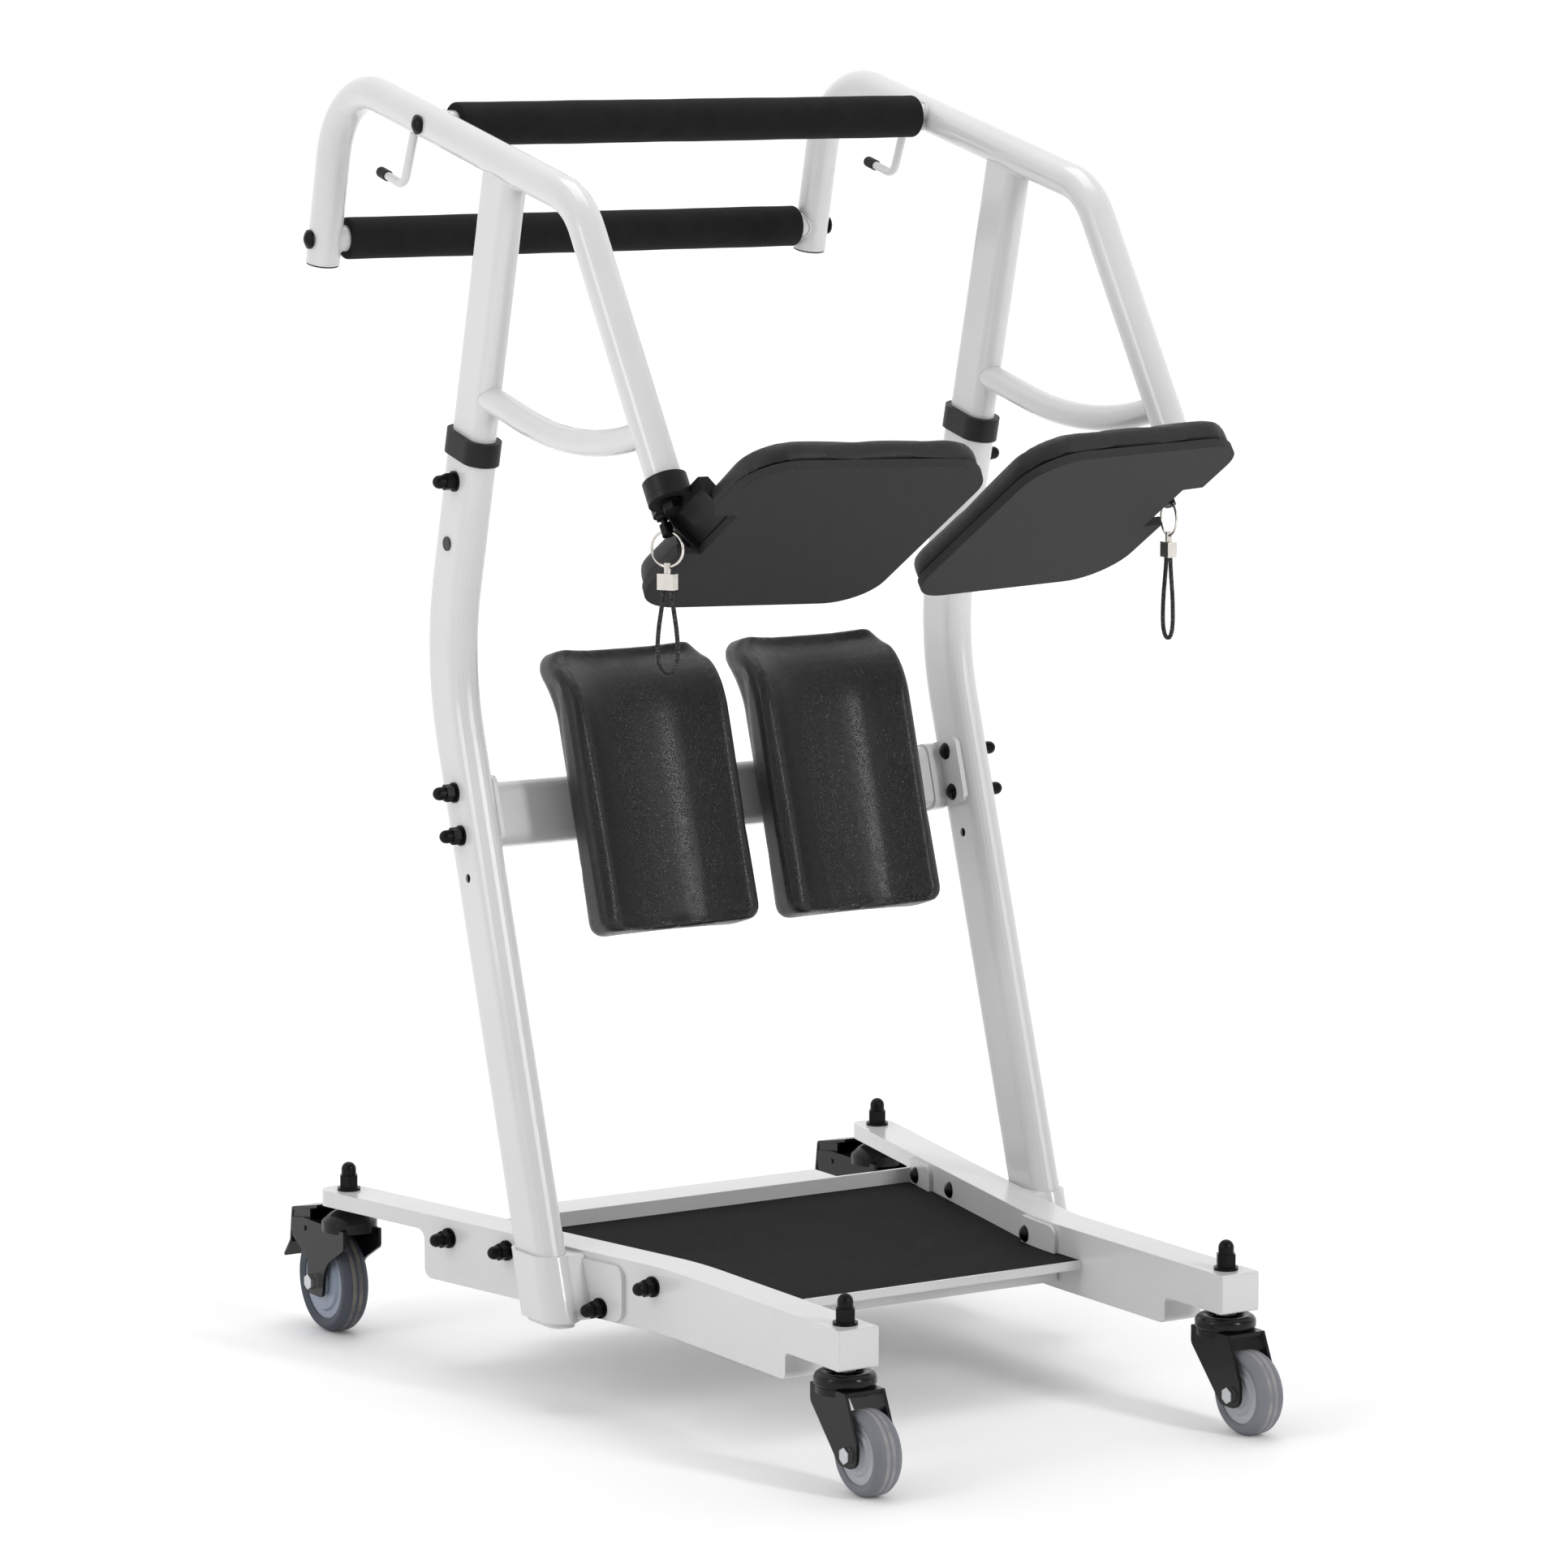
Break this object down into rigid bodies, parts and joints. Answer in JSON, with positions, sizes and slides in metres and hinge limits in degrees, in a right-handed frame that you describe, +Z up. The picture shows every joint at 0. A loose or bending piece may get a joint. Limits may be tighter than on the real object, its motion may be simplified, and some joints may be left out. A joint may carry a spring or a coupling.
{
  "type": "sit to stand lift",
  "caption": "Wheeled sit to stand lift with foot tray, knee pads, grip bars and two swing-open seat pads on a frame of adjustable height.",
  "frame": {"origin": "on the floor, in the middle of the lift's length and width", "axes": "+X to the user's right when facing the grip bars, +Y from the open side towards the grip bars, +Z up"},
  "size_m": [0.6558, 0.8966, 1.1944],
  "materials": {
    "white_coat": "gloss white powder coat",
    "black_coat": "black powder coat, slightly glossy",
    "black_steel": "black plated",
    "zinc_steel": "bright zinc plated",
    "grip_foam": "matte closed-cell foam",
    "foot_mat": "matte, fine diamond texture",
    "pad_cover": "grained synthetic leather",
    "pad_board": "fine textured",
    "tyre": "soft grey-blue tread",
    "wheel_hub": "moulded, satin",
    "plug": "satin",
    "cord": "braided",
    "nickel": "nickel plated"
  },
  "bodies": {
    "base": {"rail_left": "white_coat", "rail_right": "white_coat", "rear_crossbar": "white_coat", "front_crossbar": "white_coat", "foot_tray": "white_coat", "foot_mat": "foot_mat", "mast_socket_left": "white_coat", "mast_socket_right": "white_coat", "lower_mast_left": "white_coat", "lower_mast_right": "white_coat", "mast_collars": "black_coat", "mast_plugs": "white_coat", "height_lock_screws": "black_steel", "knee_bar": "white_coat", "knee_pad_brackets": "black_coat", "knee_pad_left": "pad_cover", "knee_pad_right": "pad_cover", "frame_bolts": "black_steel", "acorn_nuts": "black_steel", "caster_stems": "zinc_steel"},
    "upper_frame": {"inner_mast_left": "white_coat", "inner_mast_right": "white_coat", "handle_tube_left": "white_coat", "handle_tube_right": "white_coat", "braces": "white_coat", "tube_end_plugs": "plug", "grip_tubes": "white_coat", "foam_grips": "grip_foam", "grip_bolts": "black_steel", "hooks": "white_coat", "hook_tips": "plug", "seat_hubs": "black_coat", "pivot_bolts": "black_steel"},
    "seat_left": {"seat_bracket_left": "black_coat", "seat_base_left": "pad_board", "seat_pad_left": "pad_cover"},
    "lock_pin_left": {"lock_pin_left": "black_steel"},
    "pull_tag_left": {"pull_ring_left": "nickel", "lanyard_left": "cord"},
    "seat_right": {"seat_bracket_right": "black_coat", "seat_base_right": "pad_board", "seat_pad_right": "pad_cover"},
    "lock_pin_right": {"lock_pin_right": "black_steel"},
    "pull_tag_right": {"pull_ring_right": "nickel", "lanyard_right": "cord"},
    "front_swivel_left": {"front_fork_left": "black_coat"},
    "front_wheel_left": {"front_tyre_left": "tyre", "front_hub_left": "wheel_hub"},
    "rear_swivel_left": {"rear_fork_left": "black_coat"},
    "rear_wheel_left": {"rear_tyre_left": "tyre", "rear_hub_left": "wheel_hub"},
    "brake_pedal_left": {"brake_pedal_left": "black_coat"},
    "front_swivel_right": {"front_fork_right": "black_coat"},
    "front_wheel_right": {"front_tyre_right": "tyre", "front_hub_right": "wheel_hub"},
    "rear_swivel_right": {"rear_fork_right": "black_coat"},
    "rear_wheel_right": {"rear_tyre_right": "tyre", "rear_hub_right": "wheel_hub"},
    "brake_pedal_right": {"brake_pedal_right": "black_coat"}
  },
  "joints": [
    {"name": "frame_height", "type": "slide", "parent": "base", "child": "upper_frame", "axis": [0, -0.2436, 0.9699], "range_m": [0, 0.06]},
    {"name": "seat_hinge_left", "type": "hinge", "parent": "upper_frame", "child": "seat_left", "pos_m": [-0.272, -0.194, 0.858], "axis": [0, -0.5269, -0.8499], "range_deg": [0, 95]},
    {"name": "lock_pin_slide_left", "type": "slide", "parent": "seat_left", "child": "lock_pin_left", "axis": [0, 0.5269, 0.8499], "range_m": [0, 0.005]},
    {"name": "pull_tag_swing_left", "type": "hinge", "parent": "lock_pin_left", "child": "pull_tag_left", "pos_m": [-0.266, -0.18891, 0.81307], "axis": [-0.5, 0.866, 0], "range_deg": [-2, 35]},
    {"name": "seat_hinge_right", "type": "hinge", "parent": "upper_frame", "child": "seat_right", "pos_m": [0.272, -0.194, 0.858], "axis": [0, 0.5269, 0.8499], "range_deg": [0, 95]},
    {"name": "lock_pin_slide_right", "type": "slide", "parent": "seat_right", "child": "lock_pin_right", "axis": [0, 0.5269, 0.8499], "range_m": [0, 0.005]},
    {"name": "pull_tag_swing_right", "type": "hinge", "parent": "lock_pin_right", "child": "pull_tag_right", "pos_m": [0.266, -0.18891, 0.81307], "axis": [-0.1564, -0.9877, 0], "range_deg": [-8, 35]},
    {"name": "front_swivel_left", "type": "hinge", "parent": "base", "child": "front_swivel_left", "pos_m": [-0.202, -0.375, 0.096], "axis": [0, 0, 1], "continuous": true},
    {"name": "front_wheel_spin_left", "type": "hinge", "parent": "front_swivel_left", "child": "front_wheel_left", "pos_m": [-0.202, -0.411, 0.0375], "axis": [1, 0, 0], "continuous": true},
    {"name": "rear_swivel_left", "type": "hinge", "parent": "base", "child": "rear_swivel_left", "pos_m": [-0.29936, 0.347, 0.115], "axis": [0, 0, 1], "continuous": true},
    {"name": "rear_wheel_spin_left", "type": "hinge", "parent": "rear_swivel_left", "child": "rear_wheel_left", "pos_m": [-0.29936, 0.38, 0.05], "axis": [1, 0, 0], "continuous": true},
    {"name": "brake_pedal_left", "type": "hinge", "parent": "rear_swivel_left", "child": "brake_pedal_left", "pos_m": [-0.29936, 0.4, 0.098], "axis": [-1, 0, 0], "range_deg": [0, 8]},
    {"name": "front_swivel_right", "type": "hinge", "parent": "base", "child": "front_swivel_right", "pos_m": [0.202, -0.375, 0.096], "axis": [0, 0, 1], "continuous": true},
    {"name": "front_wheel_spin_right", "type": "hinge", "parent": "front_swivel_right", "child": "front_wheel_right", "pos_m": [0.202, -0.411, 0.0375], "axis": [1, 0, 0], "continuous": true},
    {"name": "rear_swivel_right", "type": "hinge", "parent": "base", "child": "rear_swivel_right", "pos_m": [0.29936, 0.347, 0.115], "axis": [0, 0, 1], "continuous": true},
    {"name": "rear_wheel_spin_right", "type": "hinge", "parent": "rear_swivel_right", "child": "rear_wheel_right", "pos_m": [0.29936, 0.38, 0.05], "axis": [1, 0, 0], "continuous": true},
    {"name": "brake_pedal_right", "type": "hinge", "parent": "rear_swivel_right", "child": "brake_pedal_right", "pos_m": [0.29936, 0.4, 0.098], "axis": [-1, 0, 0], "range_deg": [0, 8]}
  ]
}
